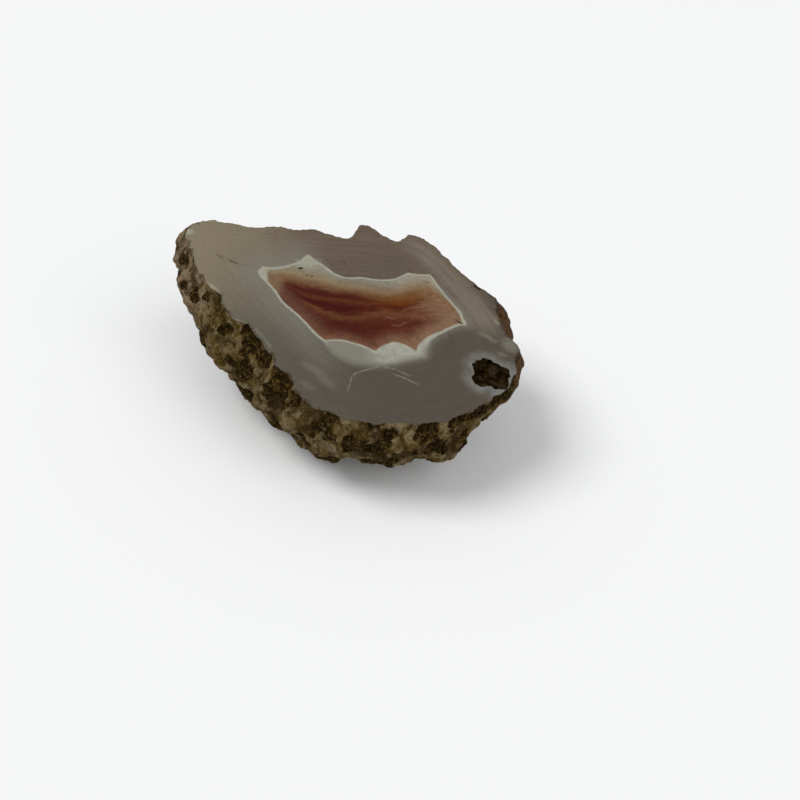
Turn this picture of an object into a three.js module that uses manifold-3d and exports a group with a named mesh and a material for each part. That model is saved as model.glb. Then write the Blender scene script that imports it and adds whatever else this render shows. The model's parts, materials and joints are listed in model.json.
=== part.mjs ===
// Half of a small agate nodule, sawn through, lying on its natural rind with the cut face up.
// The stone is one solid: a nodule is grown around the outline of its cut, then the saw takes
// the upper half away, a pocket is opened in the face, and the lowest knobs are worn to a flat spot.
// Millimetres, +Z up. The origin is the middle of that flat spot, +X runs along the stone's
// longer side, and the cut face leans down towards -Y.
import * as THREE from "three";
import { mergeVertices } from "three/addons/utils/BufferGeometryUtils.js";
import { ImprovedNoise } from "three/addons/math/ImprovedNoise.js";
import Module from "manifold-3d";

const wasm = await Module();
wasm.setup();

// Driving dimensions
const faceHeight = 21; // from the flat spot up to the middle of the cut face
const faceTilt = THREE.MathUtils.degToRad(14);
const bodyLift = 0.7; // how far over the ground the smooth body ends; only its knobs reach lower
const nodulePoints = 25; // subdivisions of the icosahedron that the nodule is grown from
const wallPower = 0.7; // under 1, the walls drop steeply from the cut before they turn in
const floorPower = 0.98; // under 1, the underside is flatter than a bowl
const broadBy = 0.34; // how far down, as a share, the edge's teeth and bays have died out
const broadSpread = 26; // degrees of the edge, to each side, that the broad form is evened over
const broadLooks = 13; // places looked at over that spread
const edgeSteps = 1200; // places along the edge that its distances are read from
const sawReach = 80; // larger than the stone, for the blocks that cut it
const stoneColour = 0x7a6f66;

// The edge of the cut, anticlockwise in the plane of the face, measured from the face's middle.
// Points two or three millimetres apart are the teeth and bays of the broken edge.
const faceEdge = [
  [25.4, 1.0], [22.6, 7.0], [20.4, 12.4], [18.2, 16.0], [16.6, 17.7], [15.2, 18.6],
  [14.0, 18.4], [12.9, 16.6], [11.2, 17.3], [9.7, 18.7], [8.4, 20.9], [6.6, 21.4], [4.8, 20.9],
  [4.0, 17.7], [-2.2, 19.9], [-8.0, 21.1], [-15.6, 22.1], [-19.6, 23.4], [-23.2, 23.6],
  [-26.2, 21.4], [-26.5, 18.9], [-25.8, 14.6], [-25.0, 9.8], [-23.0, 7.0], [-20.8, 3.2],
  [-20.3, 0.8], [-18.2, -2.4], [-16.2, -4.2], [-15.0, -6.8], [-13.9, -9.8], [-12.6, -12.4],
  [-11.0, -14.0], [-10.2, -17.2], [-7.2, -20.6], [-1.0, -22.8], [7.0, -23.2], [14.6, -21.8],
  [20.2, -19.4], [22.6, -17.4], [23.9, -14.8], [24.2, -12.4], [26.4, -9.8], [25.7, -7.3],
  [24.9, -4.4], [24.8, -1.8],
];

// How far the stone swells beyond the cut, just below it, by compass direction in degrees. A negative
// one draws it in.
const swells = [
  { toward: 8, spread: 26, by: 1.4 },
  { toward: 148, spread: 40, by: 2.4 },
  { toward: 215, spread: 40, by: 1.6 },
  { toward: 285, spread: 34, by: 0.7 },
  { toward: 331, spread: 15, by: -1.5 },
];
const swellDepth = 0.32; // where the swelling is widest, as a share of the way down

// Small knobs all over the rind, as a spiral: how many, how wide, how high for their width, and how
// far each one strays from the spiral, in radians.
const knobs = { count: 130, radius: [2.6, 4.6], height: [0.21, 0.63], stray: 0.5 };
const footKnob = { radius: 10, height: 0.16 }; // the broad low knob that is worn to the flat spot
const flatterBelow = 0.6; // how much lower the small knobs get towards the underside
const flatterFrom = 0.6; // where, as a share of the way down, they begin to
const flatterTo = 0.95; // and where they are at their lowest

// Larger knobs of the wall under the edge, each [u, v, depth, radius, height for its radius]. They
// stand along the left side from back to front, and then along the right end.
const wallKnobs = [
  [-27.6, 22.4, 1.8, 2.6, 1.3], [-27.2, 20.2, 3.0, 2.7, 1.2], [-27.2, 17.2, 2.9, 2.7, 1.2],
  [-27.0, 13.0, 3.2, 2.7, 1.2], [-25.9, 9.6, 3.0, 2.3, 1.0], [-24.6, 6.4, 2.6, 2.3, 0.8],
  [-25.6, 3.6, 6.0, 3.0, 0.7], [-21.9, 0.4, 3.2, 2.5, 0.9], [-23.4, -2.0, 7.0, 3.2, 0.7],
  [-20.2, -3.8, 4.6, 2.7, 0.8], [-17.4, -4.2, 2.4, 2.1, 0.9], [-15.4, -7.6, 2.6, 2.3, 0.9],
  [-17.8, -7.8, 6.4, 3.0, 0.8], [-13.0, -11.8, 2.9, 2.8, 0.9], [-14.8, -12.4, 7.2, 3.2, 0.7],
  [-10.6, -16.4, 3.2, 2.6, 0.8], [-12.0, -17.0, 8.0, 3.0, 0.7], [26.2, 1.6, 2.4, 3.0, 1.3],
  [26.5, -0.8, 2.4, 2.8, 1.4], [26.2, -3.4, 2.6, 2.9, 1.2],
];
const grain = { size: 2.1, height: 0.45 };
const swirl = { size: 9, height: 1.0 };
const noisePlace = new THREE.Vector3(7, 3, 5); // where in the noise the stone sits
const edgeRelief = 0.35; // the share of all this that is left where the saw went through
const fullRelief = 0.14; // how far down, as a share, all of it is there

// The pocket near the right end of the face: overlapping hollows, each [u, v, depth, radius].
const pocketHollows = [
  [20.0, -14.0, 0.2, 2.2],
  [21.8, -14.9, 0.3, 1.6],
  [18.6, -15.9, 0.1, 1.6],
  [21.0, -16.4, 0.5, 1.6],
];
const hollowFacets = 5; // subdivisions of each hollow's ball
const hollowRelief = { size: 0.9, height: 0.28 }; // its uneven skin, for its radius

const noise = new ImprovedNoise();
const faceU = new THREE.Vector3(1, 0, 0);
const faceV = new THREE.Vector3(0, Math.cos(faceTilt), Math.sin(faceTilt));
const faceMiddle = new THREE.Vector3(0, 0, faceHeight);
const bodyDepth = faceHeight - bodyLift;

// A point in the part's frame from its place on the face and its depth straight down.
function placed(u, v, down = 0) {
  return faceMiddle.clone().addScaledVector(faceU, u).addScaledVector(faceV, v)
    .add(new THREE.Vector3(0, 0, -down));
}

// An angle in radians between 0 and a full turn.
function fullTurn(angle) {
  return THREE.MathUtils.euclideanModulo(angle, 2 * Math.PI);
}

// The edge of the cut as a function: its distance from the face's middle in a direction.
function edgeReader() {
  const curve = new THREE.CatmullRomCurve3(
    faceEdge.map(([u, v]) => new THREE.Vector3(u, v, 0)), true, "centripetal");
  const turns = curve.getSpacedPoints(edgeSteps)
    .map((p) => [fullTurn(Math.atan2(p.y, p.x)), Math.hypot(p.x, p.y)])
    .sort((a, b) => a[0] - b[0]);
  return (angle) => {
    const wanted = fullTurn(angle);
    const after = Math.max(0, turns.findIndex((t) => t[0] >= wanted));
    const before = (after + turns.length - 1) % turns.length;
    const gap = fullTurn(turns[after][0] - turns[before][0]) || 1;
    const share = fullTurn(wanted - turns[before][0]) / gap;
    return THREE.MathUtils.lerp(turns[before][1], turns[after][1], share);
  };
}
const edgeRadius = edgeReader();

// The same distance below the cut, where only the broad form of the edge is left.
function wallRadius(angle, share) {
  let broad = 0;
  for (let i = 0; i < broadLooks; i++) {
    const off = THREE.MathUtils.degToRad(broadSpread * (2 * i / (broadLooks - 1) - 1));
    broad += edgeRadius(angle + off) / broadLooks;
  }
  return THREE.MathUtils.lerp(edgeRadius(angle), broad,
    THREE.MathUtils.smoothstep(share, 0, broadBy));
}

// The swelling of the wall at an angle and a share of the way down, in millimetres.
function swell(angle, share) {
  const fade = share < swellDepth
    ? Math.sin((share / swellDepth) * Math.PI / 2)
    : Math.cos(((share - swellDepth) / (1 - swellDepth)) * Math.PI / 2);
  return fade * swells.reduce((sum, s) => {
    const off = THREE.MathUtils.euclideanModulo(
      THREE.MathUtils.radToDeg(angle) - s.toward + 180, 360) - 180;
    return sum + s.by * Math.exp(-((off / s.spread) ** 2));
  }, 0);
}

// The smooth body of the nodule: a direction from the face's middle becomes a point of its skin.
function skinPoint(direction) {
  const angle = Math.atan2(direction.y, direction.x);
  const flat = Math.hypot(direction.x, direction.y);
  const down = -direction.z;
  const share = Math.abs(Math.asin(THREE.MathUtils.clamp(down, -1, 1))) / (Math.PI / 2);
  const reach = wallRadius(angle, share) * flat ** wallPower + swell(angle, share);
  const [u, v] = [Math.cos(angle) * reach, Math.sin(angle) * reach];
  const fall = Math.sign(down) * Math.abs(down) ** floorPower;
  return placed(u, v, fall * (bodyDepth + v * Math.sin(faceTilt)));
}

// A point of the skin by its compass angle and how far down it is, as a share of the way.
function wallPoint(angle, down) {
  const flat = Math.sqrt(1 - down * down);
  return skinPoint(new THREE.Vector3(flat * Math.cos(angle), flat * Math.sin(angle), -down));
}

// Small knobs evenly spread by a sunflower spiral, the foot, and the larger knobs of the wall.
function knobList() {
  const random = (seed) => THREE.MathUtils.seededRandom(seed);
  const goldenAngle = Math.PI * (3 - Math.sqrt(5));
  random(1);
  const made = [];
  for (let i = 0; i < knobs.count; i++) {
    const down = (i + 0.5) / knobs.count;
    const flatter = 1 - flatterBelow * THREE.MathUtils.smoothstep(down, flatterFrom, flatterTo);
    made.push({
      at: wallPoint(i * goldenAngle + knobs.stray * random(), down),
      radius: THREE.MathUtils.lerp(...knobs.radius, random()),
      height: THREE.MathUtils.lerp(...knobs.height, random()) * flatter,
    });
  }
  made.push({ at: wallPoint(0, 1), ...footKnob });
  for (const [u, v, down, radius, height] of wallKnobs) {
    made.push({ at: wallPoint(Math.atan2(v, u), down / bodyDepth), radius, height });
  }
  return made;
}

// How high the rind stands over the smooth body at a point.
function relief(point, knobsHere) {
  let knob = 0;
  for (const k of knobsHere) {
    const off = point.distanceTo(k.at) / k.radius;
    if (off < 1) knob = Math.max(knob, k.height * k.radius * Math.sqrt(1 - off * off));
  }
  const noiseOf = (size) => {
    const p = point.clone().divideScalar(size).add(noisePlace);
    return noise.noise(p.x, p.y, p.z);
  };
  return knob + grain.height * noiseOf(grain.size) + swirl.height * noiseOf(swirl.size);
}

// The whole nodule: an even ball of faces, each corner moved out to the skin and its relief.
function growNodule() {
  const ball = new THREE.IcosahedronGeometry(1, nodulePoints);
  const corners = ball.getAttribute("position");
  const knobsHere = knobList();
  const direction = new THREE.Vector3();
  for (let i = 0; i < corners.count; i++) {
    direction.fromBufferAttribute(corners, i).normalize();
    const skin = skinPoint(direction);
    const nearEdge = THREE.MathUtils.smoothstep(-direction.z, 0, fullRelief);
    const kept = THREE.MathUtils.lerp(edgeRelief, 1, nearEdge);
    skin.addScaledVector(direction, relief(skin, knobsHere) * kept);
    corners.setXYZ(i, skin.x, skin.y, skin.z);
  }
  return solidFrom(ball);
}

// A small lumpy hollow, as a ball with an uneven skin; each number gives another unevenness.
function hollow([u, v, down, radius], number) {
  const ball = new THREE.IcosahedronGeometry(radius, hollowFacets);
  const corners = ball.getAttribute("position");
  const p = new THREE.Vector3();
  for (let i = 0; i < corners.count; i++) {
    p.fromBufferAttribute(corners, i);
    const q = p.clone().divideScalar(hollowRelief.size);
    p.multiplyScalar(1 + hollowRelief.height * noise.noise(q.x + number, q.y, q.z));
    corners.setXYZ(i, p.x, p.y, p.z);
  }
  ball.applyMatrix4(new THREE.Matrix4().setPosition(placed(u, v, down)));
  return solidFrom(ball);
}

// three.js geometry to a manifold solid, and back.
function solidFrom(geometry) {
  geometry.deleteAttribute("normal");
  geometry.deleteAttribute("uv");
  const merged = mergeVertices(geometry, 1e-4);
  return new wasm.Manifold(new wasm.Mesh({
    numProp: 3,
    vertProperties: merged.getAttribute("position").array,
    triVerts: new Uint32Array(merged.index.array),
  }));
}
function geometryFrom(solid) {
  const mesh = solid.getMesh();
  const geometry = new THREE.BufferGeometry();
  geometry.setAttribute("position", new THREE.BufferAttribute(mesh.vertProperties, 3));
  geometry.setIndex(new THREE.BufferAttribute(mesh.triVerts, 1));
  geometry.computeVertexNormals();
  return geometry;
}

// The block that the saw takes off: everything above the tilted plane of the face.
function sawnOff() {
  const block = new THREE.BoxGeometry(2 * sawReach, 2 * sawReach, sawReach);
  block.applyMatrix4(new THREE.Matrix4().makeTranslation(0, 0, sawReach / 2));
  block.applyMatrix4(new THREE.Matrix4().makeRotationX(faceTilt));
  block.applyMatrix4(new THREE.Matrix4().setPosition(faceMiddle));
  return solidFrom(block);
}

// The block below the flat spot.
function wornOff() {
  const block = new THREE.BoxGeometry(2 * sawReach, 2 * sawReach, sawReach);
  block.applyMatrix4(new THREE.Matrix4().makeTranslation(0, 0, -sawReach / 2));
  return solidFrom(block);
}

function geodeHalf() {
  let stone = growNodule().subtract(sawnOff()).subtract(wornOff());
  pocketHollows.forEach((place, number) => {
    stone = stone.subtract(hollow(place, number));
  });
  const stoneMaterial = new THREE.MeshStandardMaterial({
    color: stoneColour, roughness: 0.45, metalness: 0,
  });
  const mesh = new THREE.Mesh(geometryFrom(stone), stoneMaterial);
  mesh.name = "geode_half";
  return mesh;
}

const part = new THREE.Group();
part.add(geodeHalf());
export default part;
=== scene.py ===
import json
import math
import bmesh
import bpy
import numpy as np
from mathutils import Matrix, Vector, noise
from mathutils.geometry import delaunay_2d_cdt


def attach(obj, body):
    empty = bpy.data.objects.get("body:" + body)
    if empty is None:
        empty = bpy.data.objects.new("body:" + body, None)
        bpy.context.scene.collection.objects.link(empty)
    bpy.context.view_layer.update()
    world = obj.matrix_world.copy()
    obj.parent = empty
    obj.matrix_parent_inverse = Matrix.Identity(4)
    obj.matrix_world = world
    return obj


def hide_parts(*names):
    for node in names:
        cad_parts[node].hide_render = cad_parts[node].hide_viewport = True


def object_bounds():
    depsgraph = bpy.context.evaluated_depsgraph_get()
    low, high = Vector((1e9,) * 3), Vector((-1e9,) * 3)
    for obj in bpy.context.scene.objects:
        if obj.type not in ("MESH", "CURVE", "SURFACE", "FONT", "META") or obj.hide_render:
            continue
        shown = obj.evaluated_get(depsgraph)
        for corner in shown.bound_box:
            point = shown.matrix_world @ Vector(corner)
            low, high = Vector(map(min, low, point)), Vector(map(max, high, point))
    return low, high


# Half of a small agate nodule on a pale floor. Sizes in the tables are millimetres, [u, v] are places on
# the sawn face: u to the right, v up the slope, from the point of the face above the middle of the foot.

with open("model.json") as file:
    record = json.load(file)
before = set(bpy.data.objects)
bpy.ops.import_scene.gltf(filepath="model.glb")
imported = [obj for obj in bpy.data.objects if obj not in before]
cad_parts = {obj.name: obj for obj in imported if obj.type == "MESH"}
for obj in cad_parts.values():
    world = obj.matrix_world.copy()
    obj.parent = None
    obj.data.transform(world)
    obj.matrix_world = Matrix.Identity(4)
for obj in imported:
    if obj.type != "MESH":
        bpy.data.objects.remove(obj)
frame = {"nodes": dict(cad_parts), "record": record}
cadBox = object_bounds()
mm = 0.001
levelEnough = 0.999   # how squarely a face has to look up to count as sawn

# the plane that the saw left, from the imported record
sawnMount = next(m for m in frame["record"]["mounts"] if m["name"] == "sawn_face")
faceMiddle = Vector(sawnMount["pos_m"])
faceUp = Vector(sawnMount["axis"]).normalized()
faceRight = Vector((1, 0, 0))
faceBack = faceUp.cross(faceRight).normalized()
faceLean = math.asin(-faceUp.y)


def facePoint(u, v):
    return faceMiddle + faceRight * (u * mm) + faceBack * (v * mm)


def faceCoords(points):
    # u, v and height over the face, in mm, of an array of places in metres
    away = points - np.array(faceMiddle)
    axes = np.array([faceRight, faceBack, faceUp]).T
    return away @ axes / mm


def clearSelection():
    bpy.ops.object.select_all(action="DESELECT")


def makeActive(piece):
    clearSelection()
    piece.select_set(True)
    bpy.context.view_layer.objects.active = piece


def applyModifier(piece, kind, name, **settings):
    makeActive(piece)
    modifier = piece.modifiers.new(name, kind)
    for key, value in settings.items():
        setattr(modifier, key, value)
    bpy.ops.object.modifier_apply(modifier=modifier.name)


def pointsOf(piece):
    flat = np.empty(len(piece.data.vertices) * 3, np.float32)
    piece.data.vertices.foreach_get("co", flat)
    return flat.reshape(-1, 3).astype(float)


def normalsOf(piece):
    flat = np.empty(len(piece.data.vertices) * 3, np.float32)
    piece.data.vertex_normals.foreach_get("vector", flat)
    return flat.reshape(-1, 3).astype(float)


def setPoints(piece, points):
    piece.data.vertices.foreach_set("co", points.astype(np.float32).ravel())
    piece.data.update()


def setAttribute(piece, name, values):
    attribute = piece.data.attributes.new(name, "FLOAT", "POINT")
    attribute.data.foreach_set("value", np.asarray(values, np.float32))


def easedStep(values, low, high):
    t = np.clip((values - low) / (high - low), 0, 1)
    return t * t * (3 - 2 * t)


# camera, at the photograph's place and angle

cameraSet = {
    "place": (-0.02539, -0.09982, 0.08607),   # metres from the foot of the stone
    "turn": (59.62, -1.03, -4.82),            # degrees
    "lens": 32.39,
    "shift": (0.1853, -0.1529),               # the photograph is cut from a wider picture
}


def addCamera():
    bpy.ops.object.camera_add(
        location=cameraSet["place"],
        rotation=[math.radians(a) for a in cameraSet["turn"]],
    )
    camera = bpy.context.object
    camera.name = "photoCamera"
    camera.data.lens = cameraSet["lens"]
    camera.data.shift_x, camera.data.shift_y = cameraSet["shift"]
    camera.data.clip_start = 0.005
    camera.data.clip_end = 10
    bpy.context.scene.camera = camera


clearSelection()
addCamera()
print("camera is in place")

# the stone's shape

stoneShape = {
    "spareTop": 1.6,      # stone kept over the cut until the saw takes it off
    "spareFoot": 0.7,     # and under the worn foot
    "voxel": 0.285,       # fineness of the surface
    "softening": 5,       # passes that round the facets off
    "faceGrid": 0.38,     # spacing of the points on the sawn face
    "footGrid": 1.5,
    "weld": 0.02,         # points of a cut nearer than this are joined
    "onPlane": 0.003,     # a point this near a plane lies in it
}
# net that closes a cut: rows nearer together than its points, and room left along the rim, both in spacings
cutNet = {"rows": 0.866, "rimRoom": 0.4}

# relief of the rind: kind of texture, size and depth, mid level, and the part of the stone it works on
rindRelief = [
    {"name": "lumps", "kind": "VORONOI", "size": 3.3, "depth": -0.85, "mid": 0.26, "on": "rind"},
    {"name": "nodules", "kind": "VORONOI", "size": 1.5, "depth": -0.42, "mid": 0.24, "on": "rind"},
    {"name": "pitting", "kind": "CLOUDS", "size": 0.8, "depth": 0.40, "mid": 0.58, "on": "rind"},
    {"name": "crustGrains", "kind": "VORONOI", "size": 0.62, "depth": -0.42, "mid": 0.30, "on": "crust"},
    {"name": "pocketCrystals", "kind": "VORONOI", "size": 0.75, "depth": -0.6, "mid": 0.5, "on": "pocket"},
]
smootherEnd = {"from": 20.5, "to": 24.0, "keeps": 0.45}   # the right end keeps part of the relief

# the little pocket near the right end: where it is, and its hollows (u, v, depth of the centre, radius)
pocketAbout = {"middle": (20.6, -15.2), "reach": 3.9}
pocketHollows = [
    [20.0, -14.0, 0.2, 2.2],
    [21.8, -14.9, 0.3, 1.6],
    [18.6, -15.9, 0.1, 1.6],
    [21.0, -16.4, 0.5, 1.6],
]


def pocketShare(points):
    # 1 inside the pocket, 0 away from it
    share = np.zeros(len(points))
    for u, v, down, radius in pocketHollows:
        centre = np.array(facePoint(u, v) - faceUp * (down * mm))
        gap = np.linalg.norm(points - centre, axis=1) / mm - radius
        share = np.maximum(share, 1 - easedStep(gap, 0.15, 0.6))
    return share


# dark crusts that show beside the left edge of the face: x, y, z and radius
crustPatches = [
    [-27.3, 15.6, 22.9, 1.3],
    [-28.0, 12.6, 21.4, 0.6],
    [-27.5, 10.4, 19.8, 1.0],
    [-25.4, 7.6, 19.6, 1.3],
    [-23.4, 5.6, 20.4, 0.9],
    [-21.6, 3.0, 20.8, 0.9],
    [-24.4, 4.5, 11.7, 2.0],
    [-20.8, -1.1, 18.4, 1.1],
    [-19.7, -4.8, 14.1, 1.2],
    [-17.0, -3.9, 19.5, 1.0],
    [-16.1, -6.0, 18.4, 1.4],
    [-14.6, -8.8, 18.1, 1.5],
    [-17.8, -7.6, 15.0, 2.2],
    [-12.4, -13.1, 17.4, 2.2],
    [-13.9, -14.8, 15.3, 2.2],
    [-10.7, -17.0, 16.4, 1.2],
]
crustPatchEdge = {"size": 1.5, "depth": 0.75, "whole": 0.7, "gone": 1.4}   # how ragged and soft they are

# crusts scattered over the rest of the rind: their size, and the noise level where they begin and are
# whole. They keep off the upper left, beside the face, and nearly off the right end.
crustScatter = {
    "size": 3.4, "begins": -0.02, "whole": 0.22,
    "leftFrom": 7, "leftTo": 10, "lowFrom": 9, "lowTo": 12,
    "rightFrom": 21.5, "rightTo": 24, "backFrom": -14, "backTo": -9, "keptOffRight": 0.9,
}


def crustShare(points):
    # 1 where the dark crust covers the rind, 0 on bare rind
    places = points / mm
    share = np.zeros(len(places))
    grain = crustPatchEdge["size"]
    ragged = np.array([noise.fractal(Vector(place / grain), 0.8, 2.0, 3) for place in places])
    for *middle, radius in crustPatches:
        gap = np.linalg.norm(places - np.array(middle), axis=1) / radius
        gap += ragged * crustPatchEdge["depth"]
        share = np.maximum(share, 1 - easedStep(gap, crustPatchEdge["whole"], crustPatchEdge["gone"]))
    x, y, z = places.T
    at = crustScatter
    cloud = np.array([noise.fractal(Vector(place / at["size"]), 0.9, 2.0, 3) for place in places])
    scattered = easedStep(cloud, at["begins"], at["whole"])
    besideFace = easedStep(-x, at["leftFrom"], at["leftTo"]) * easedStep(z, at["lowFrom"], at["lowTo"])
    rightEnd = easedStep(x, at["rightFrom"], at["rightTo"]) * easedStep(y, at["backFrom"], at["backTo"])
    return np.maximum(share, scattered * (1 - besideFace) * (1 - at["keptOffRight"] * rightEnd))


def copySolid():
    # the CAD node stays as it is, and a copy of its mesh is merged and worked on
    solid = frame["nodes"]["geode_half"]
    half = bpy.data.objects.new("agate_half", solid.data.copy())
    half.data.name = "agate_half"
    half.data.materials.clear()
    bpy.context.scene.collection.objects.link(half)
    makeActive(half)
    bpy.ops.object.mode_set(mode="EDIT")
    bpy.ops.mesh.select_all(action="SELECT")
    bpy.ops.mesh.remove_doubles(threshold=0.005 * mm)
    bpy.ops.object.mode_set(mode="OBJECT")
    return half


def extrudeFlat(half, through, outward, amount):
    # lifts the flat that lies in one plane, so that the rind's relief carries on past it
    makeActive(half)
    bpy.context.tool_settings.mesh_select_mode = (False, False, True)
    bpy.ops.object.mode_set(mode="EDIT")
    bpy.ops.mesh.select_all(action="DESELECT")
    bpy.ops.object.mode_set(mode="OBJECT")
    for polygon in half.data.polygons:
        level = abs((polygon.center - through).dot(outward))
        polygon.select = level < 0.02 * mm and polygon.normal.dot(outward) > 0.995
    bpy.ops.object.mode_set(mode="EDIT")
    bpy.ops.mesh.extrude_region_move(TRANSFORM_OT_translate={"value": outward * amount})
    bpy.ops.object.mode_set(mode="OBJECT")


def roughen(half):
    points = pointsOf(half)
    pocket = pocketShare(points)
    crust = crustShare(points) * (1 - pocket)
    setAttribute(half, "crust", crust)
    calmed = easedStep(points[:, 0] / mm, smootherEnd["from"], smootherEnd["to"])
    rind = (1 - pocket) * (1 - calmed * (1 - smootherEnd["keeps"]))
    groups = {"rind": rind, "crust": crust, "pocket": pocket}
    for name, weights in groups.items():
        group = half.vertex_groups.new(name=name)
        for step in range(0, 11):
            chosen = np.nonzero(np.round(weights * 10) == step)[0]
            group.add(chosen.tolist(), step / 10, "REPLACE")
    for relief in rindRelief:
        texture = bpy.data.textures.new(relief["name"], relief["kind"])
        texture.noise_scale = relief["size"] * mm
        applyModifier(
            half, "DISPLACE", relief["name"], texture=texture, texture_coords="LOCAL",
            strength=relief["depth"] * mm, mid_level=relief["mid"], vertex_group=relief["on"],
        )


def sawOff(half, through, outward):
    makeActive(half)
    bpy.ops.object.mode_set(mode="EDIT")
    bpy.ops.mesh.select_all(action="SELECT")
    bpy.ops.mesh.bisect(plane_co=through, plane_no=outward, clear_outer=True, threshold=0.001 * mm)
    bpy.ops.mesh.select_all(action="DESELECT")
    bpy.ops.object.mode_set(mode="OBJECT")


def inside(points, edges):
    # even-odd test of [u, v] points against closed loops of edges
    found = np.zeros(len(points), bool)
    x, y = points[:, 0], points[:, 1]
    for (ax, ay), (bx, by) in edges:
        crosses = (ay > y) != (by > y)
        if ay != by:
            found ^= crosses & (x < (bx - ax) * (y - ay) / (by - ay) + ax)
    return found


def distanceTo(points, edges):
    # distance in mm from [u, v] points to the nearest of some edges
    best = np.full(len(points), 1e9)
    for a, b in edges:
        a, b = np.array(a), np.array(b)
        along = b - a
        share = np.clip(((points - a) @ along) / max(along @ along, 1e-12), 0, 1)
        best = np.minimum(best, np.linalg.norm(points - a - share[:, None] * along, axis=1))
    return best


def openEdges(bm, through, outward):
    # the open edges of one cut
    near = stoneShape["weld"] * mm
    edges = [e for e in bm.edges if e.is_boundary]
    return [e for e in edges if all(abs((v.co - through).dot(outward)) < near for v in e.verts)]


def endsOf(edges):
    # each end point once, in the order of the edges
    return list(dict.fromkeys(v for e in edges for v in e.verts))


def closeCut(half, through, outward, backward, spacing, extraPoints=()):
    # fills an open cut with an even net of triangles, so that its markings can sit on its points
    sideways = backward.cross(outward).normalized()
    bm = bmesh.new()
    bm.from_mesh(half.data)
    rimPoints = endsOf(openEdges(bm, through, outward))
    bmesh.ops.remove_doubles(bm, verts=rimPoints, dist=stoneShape["weld"] * mm)
    rim = openEdges(bm, through, outward)
    rimPoints = endsOf(rim)
    place = {v: i for i, v in enumerate(rimPoints)}
    flat = [((v.co - through).dot(sideways) / mm, (v.co - through).dot(backward) / mm) for v in rimPoints]
    links = [(place[e.verts[0]], place[e.verts[1]]) for e in rim]
    edges = [(flat[a], flat[b]) for a, b in links]
    low, high = np.min(flat, axis=0), np.max(flat, axis=0)
    net = []
    for row, v in enumerate(np.arange(low[1], high[1], spacing * cutNet["rows"])):
        shift = spacing / 2 if row % 2 else 0
        net += [(u + shift, v) for u in np.arange(low[0], high[0], spacing)]
    net = np.array(net + list(extraPoints))
    net = net[inside(net, edges)]
    net = net[distanceTo(net, edges) > spacing * cutNet["rimRoom"]]
    coords = [Vector(p) for p in flat] + [Vector(p) for p in net]
    made = delaunay_2d_cdt(coords, links, [], 0, 1e-6)
    newCoords, triangles, sources = made[0], made[2], made[3]
    corners = []
    for coord, source in zip(newCoords, sources):
        if source and source[0] < len(rimPoints):
            corners.append(rimPoints[source[0]])
        else:
            corners.append(bm.verts.new(through + sideways * (coord.x * mm) + backward * (coord.y * mm)))
    middles = [sum((newCoords[i] for i in t), Vector((0, 0))) / 3 for t in triangles]
    for triangle, kept in zip(triangles, inside(np.array(middles), edges)):
        if kept:
            face = bm.faces.new([corners[i] for i in triangle])
            face.normal_update()
            if face.normal.dot(outward) < 0:
                face.normal_flip()
    loose = [v for v in bm.verts if not v.link_faces]
    bmesh.ops.delete(bm, geom=loose, context="VERTS")
    bmesh.ops.holes_fill(bm, edges=openEdges(bm, through, outward), sides=0)
    bm.to_mesh(half.data)
    bm.free()
    half.data.update()


def shapeStone():
    half = copySolid()
    extrudeFlat(half, faceMiddle, faceUp, stoneShape["spareTop"] * mm)
    extrudeFlat(half, Vector((0, 0, 0)), Vector((0, 0, -1)), stoneShape["spareFoot"] * mm)
    applyModifier(half, "REMESH", "evenNet", mode="VOXEL", voxel_size=stoneShape["voxel"] * mm)
    applyModifier(half, "SMOOTH", "soften", factor=0.5, iterations=stoneShape["softening"])
    print("stone: even net of", len(half.data.polygons), "faces")
    before, normals = pointsOf(half), normalsOf(half)
    roughen(half)
    raised = ((pointsOf(half) - before) * normals).sum(axis=1) / mm
    setAttribute(half, "raised", raised)
    inBox = np.clip(pointsOf(half)[:, :2], np.array(cadBox[0])[:2], np.array(cadBox[1])[:2])
    setPoints(half, np.column_stack([inBox, pointsOf(half)[:, 2]]))
    half.vertex_groups.clear()
    sawOff(half, faceMiddle, faceUp)
    closeCut(half, faceMiddle, faceUp, faceBack, stoneShape["faceGrid"], hairlinePoints())
    sawOff(half, Vector((0, 0, 0)), Vector((0, 0, -1)))
    closeCut(half, Vector((0, 0, 0)), Vector((0, 0, -1)), Vector((0, 1, 0)), stoneShape["footGrid"])
    print("stone: sawn, with", len(half.data.vertices), "points")
    return half


# the markings of the sawn face

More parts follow.
